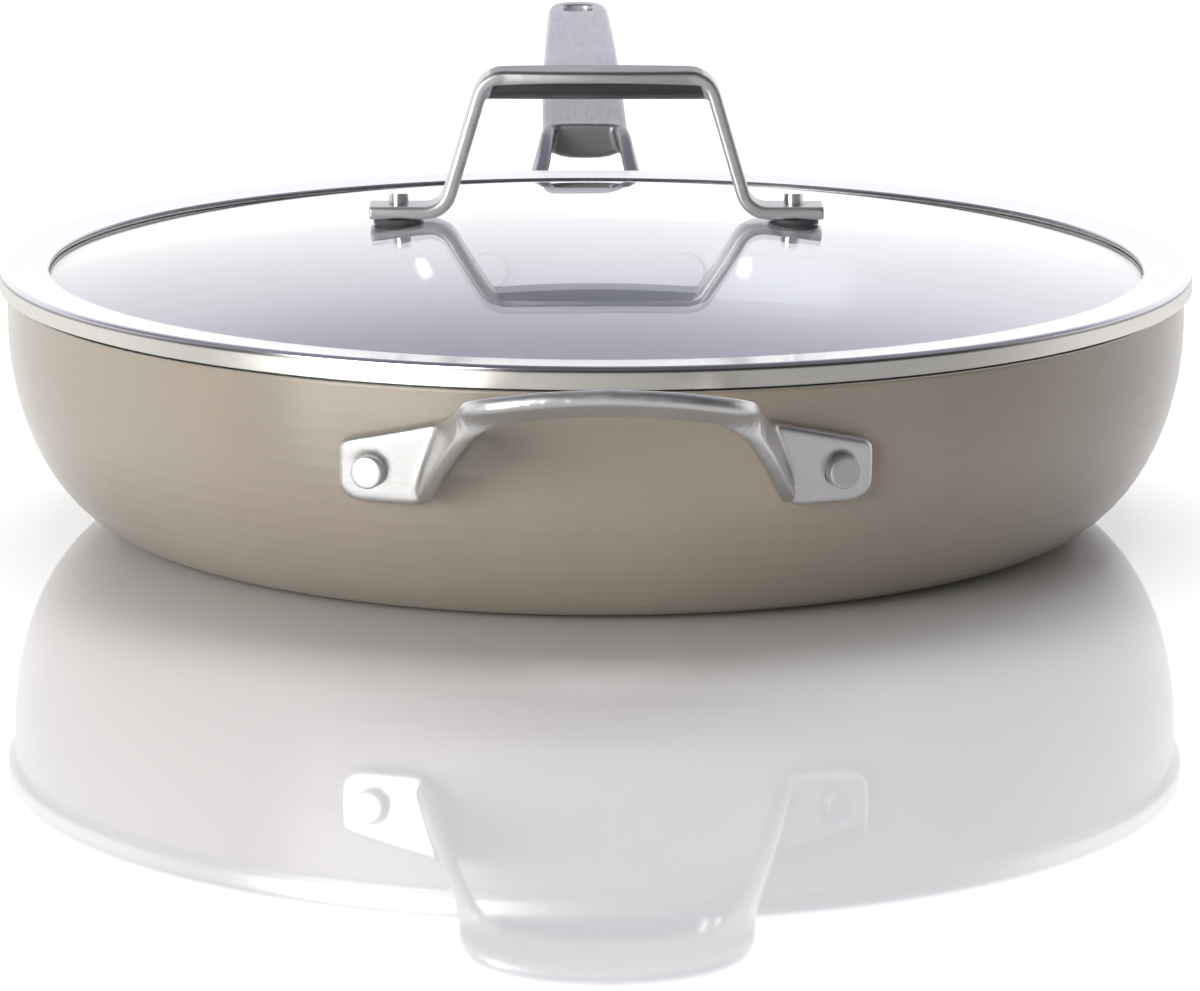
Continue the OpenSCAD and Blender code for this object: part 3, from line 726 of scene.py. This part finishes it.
def soften(name, cell, passes):
    """Rounds a piece's edges and folds a little, as tumbling leaves them."""
    piece = nodes[name]
    weld = piece.modifiers.new("weld", "WELD")
    weld.merge_threshold = cell / WELDS_IN_A_CELL
    remesh = piece.modifiers.new("even_mesh", "REMESH")
    remesh.mode = "VOXEL"
    remesh.voxel_size = cell
    remesh.use_smooth_shade = True
    smooth = piece.modifiers.new("tumbled", "SMOOTH")
    smooth.factor = SMOOTHING
    smooth.iterations = passes


soften("helper_handle", cell=0.0005, passes=22)
soften("long_handle", cell=0.0006, passes=6)
soften("lid_handle", cell=0.0005, passes=4)


# Floor

FLOOR_REACH = 6.0


def make_floor():
    """A glossy white table that mirrors the pan."""
    corners = [(x * FLOOR_REACH, y * FLOOR_REACH, 0) for x, y in ((-1, -1), (1, -1), (1, 1), (-1, 1))]
    mesh = bpy.data.meshes.new("floor")
    mesh.from_pydata(corners, [], [(0, 1, 2, 3)])
    floor = bpy.data.objects.new("floor", mesh)
    bpy.context.scene.collection.objects.link(floor)
    material, tree, shader = finish_material("white_table")
    marks = place(tree, handling_marks, Cloud_scale=TABLE_CLOUDS)
    fill(
        tree, shader,
        Base_Color=blend_colours(tree, marks["Clouds"], *TABLE_WHITE),
        Metallic=0.2,
        Roughness=roughen(tree, 0.03, (marks["Clouds"], 0.01)),
    )
    mesh.materials.append(material)


# The room's light by direction: ranges of its part to the right, back or up, and the light at their ends

BEHIND = (-0.3, 0.3)
WALL_HEIGHTS = (0.33, 0.64)
WALL_LIGHT = (1.42, 0.42)
CEILING_HEIGHTS = (0.64, 0.86)
CEILING_LIGHT = (1.0, 1.5)
SIDES = (-0.7, 0.7)
SIDE_LIGHT = (0.44, 0.20)
FRONT_HEIGHTS = (0.16, 0.42)
FRONT_LIGHT = (1.0, 0.45)
LILAC_HEIGHTS = (0.2, 0.6)

# Two narrow windows in the wall, which the lid's glass mirrors as bright spots: their middles, and how
# far beside and above these their light starts and is full

WINDOW_SIDES = (-0.0425, 0.0668)
WINDOW_HEIGHT = 0.325
WINDOW_WIDTH = (0.0026, 0.0006)
WINDOW_LENGTH = (0.034, 0.010)
WINDOW_LIGHT = 2.0


def make_room():
    """A white wall of light low behind the pan, dimmer lilac light above it, soft light low in front."""
    world = bpy.data.worlds.new("studio")
    bpy.context.scene.world = world
    world.use_nodes = True
    tree = world.node_tree
    tree.nodes.clear()
    parts = split(tree, add(tree, "ShaderNodeTexCoord").outputs["Generated"])
    behind = spread(tree, parts["Y"], *BEHIND)
    before = calculate(tree, "SUBTRACT", 1.0, behind)
    wall = spread(tree, parts["Z"], *WALL_HEIGHTS, *WALL_LIGHT)
    ceiling = spread(tree, parts["Z"], *CEILING_HEIGHTS, *CEILING_LIGHT)
    side = spread(tree, parts["X"], *SIDES, *SIDE_LIGHT)
    low_light = spread(tree, parts["Z"], *FRONT_HEIGHTS, *FRONT_LIGHT)
    level = calculate(
        tree, "ADD", times(tree, wall, ceiling, behind), times(tree, side, low_light, before)
    )
    for middle in WINDOW_SIDES:
        beside = calculate(tree, "ABSOLUTE", calculate(tree, "SUBTRACT", parts["X"], middle))
        above = calculate(tree, "ABSOLUTE", calculate(tree, "SUBTRACT", parts["Z"], WINDOW_HEIGHT))
        window = times(
            tree, spread(tree, beside, *WINDOW_WIDTH), spread(tree, above, *WINDOW_LENGTH), behind
        )
        level = calculate(tree, "MULTIPLY_ADD", window, WINDOW_LIGHT, level)
    seen = add(tree, "ShaderNodeLightPath").outputs["Is Camera Ray"]
    tint = blend_colours(tree, spread(tree, parts["Z"], *LILAC_HEIGHTS), WHITE, LILAC)
    unseen_level = times(tree, level, calculate(tree, "SUBTRACT", 1.0, seen))
    room = add(tree, "ShaderNodeBackground", {
        "Color": blend_colours(tree, seen, tint, WHITE),
        "Strength": calculate(tree, "ADD", unseen_level, seen),
    })
    out = add(tree, "ShaderNodeOutputWorld")
    tree.links.new(room.outputs["Background"], out.inputs["Surface"])


# Lamps, in metres and watts

LAMPS_AIM = Vector((0, 0, 0.04))


def make_lamp(name, place_at, size, power, mirrored=True):
    """A soft box that faces the pan, and that glossy surfaces mirror or don't."""
    data = bpy.data.lights.new(name, "AREA")
    data.shape = "RECTANGLE"
    data.size, data.size_y = size
    data.energy = power
    lamp = bpy.data.objects.new(name, data)
    bpy.context.scene.collection.objects.link(lamp)
    lamp.location = place_at
    lamp.visible_glossy = mirrored
    aim = LAMPS_AIM - Vector(place_at)
    lamp.rotation_euler = aim.to_track_quat("-Z", "Y").to_euler()


# Camera, in metres and radians, and its lens in millimetres

CAMERA_DISTANCE = 1.544
CAMERA_HEIGHT = 0.328
CAMERA_ASIDE = 0.0004
CAMERA_PITCH = 0.2064
CAMERA_ROLL = 0.0031
CAMERA_TURN = radians(-1.0)
LENS = 173.7
SENSOR = 36.0
LENS_SHIFT = 0.00263
FARTHEST_SEEN = 50.0


def make_camera():
    """Stands where the photograph was taken from, worked out from the pan's circles."""
    data = bpy.data.cameras.new("camera")
    data.sensor_width = SENSOR
    data.lens = LENS
    data.shift_x = LENS_SHIFT
    data.clip_end = FARTHEST_SEEN
    camera = bpy.data.objects.new("camera", data)
    bpy.context.scene.collection.objects.link(camera)
    level_right = Vector((1, 0, 0))
    level_up = Vector((0, sin(CAMERA_PITCH), cos(CAMERA_PITCH)))
    right = level_right * cos(CAMERA_ROLL) + level_up * sin(CAMERA_ROLL)
    up = level_up * cos(CAMERA_ROLL) - level_right * sin(CAMERA_ROLL)
    pose = Matrix((right, up, right.cross(up))).transposed().to_4x4()
    pose.translation = Vector((CAMERA_ASIDE, -CAMERA_DISTANCE, CAMERA_HEIGHT))
    camera.matrix_world = Matrix.Rotation(CAMERA_TURN, 4, "Z") @ pose
    bpy.context.scene.camera = camera


make_floor()
make_room()
make_lamp("left_soft_box", place_at=(-1.2, -1.4, 0.5), size=(1.2, 0.9), power=23)
make_lamp("top_soft_box", place_at=(0.1, 0.65, 1.85), size=(1.6, 1.2), power=28, mirrored=False)
make_camera()
bpy.context.scene.view_settings.view_transform = "Standard"
